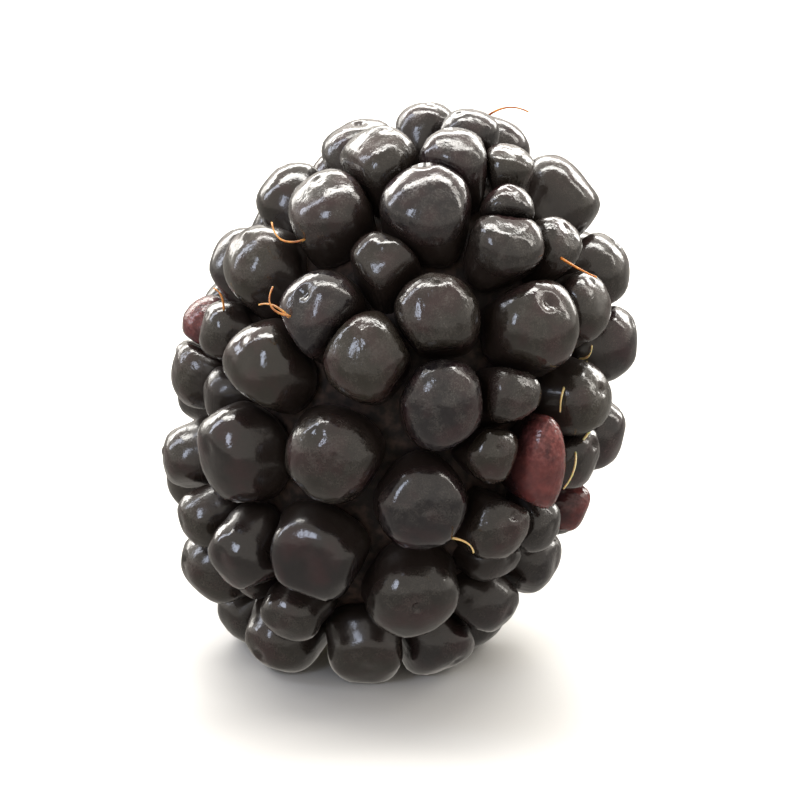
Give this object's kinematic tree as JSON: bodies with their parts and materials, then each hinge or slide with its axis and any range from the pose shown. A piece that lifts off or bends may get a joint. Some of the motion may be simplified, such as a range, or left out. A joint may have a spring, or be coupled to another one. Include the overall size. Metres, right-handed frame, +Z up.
{
  "type": "bramble berry",
  "caption": "Whole ripe bramble berry, dark glossy drupelets with a few still red and a pale receptacle plug in its stem end, standing upright on it.",
  "frame": {"origin": "on the surface the berry stands on, under the middle of its box", "axes": "+Z up from the stem end to the tip, -Y towards the side that shows the red drupelet on its right"},
  "size_m": [0.0246, 0.0238, 0.029],
  "materials": {
    "dark_skin": "glossy black-purple fruit skin",
    "red_skin": "glossy red unripe fruit skin",
    "pale_flesh": "matte cream fruit flesh"
  },
  "bodies": {
    "root": {"drupelets": "dark_skin", "red_drupelet_left": "red_skin", "red_drupelet_right": "red_skin", "red_drupelet_low": "red_skin", "receptacle": "pale_flesh"}
  },
  "joints": []
}
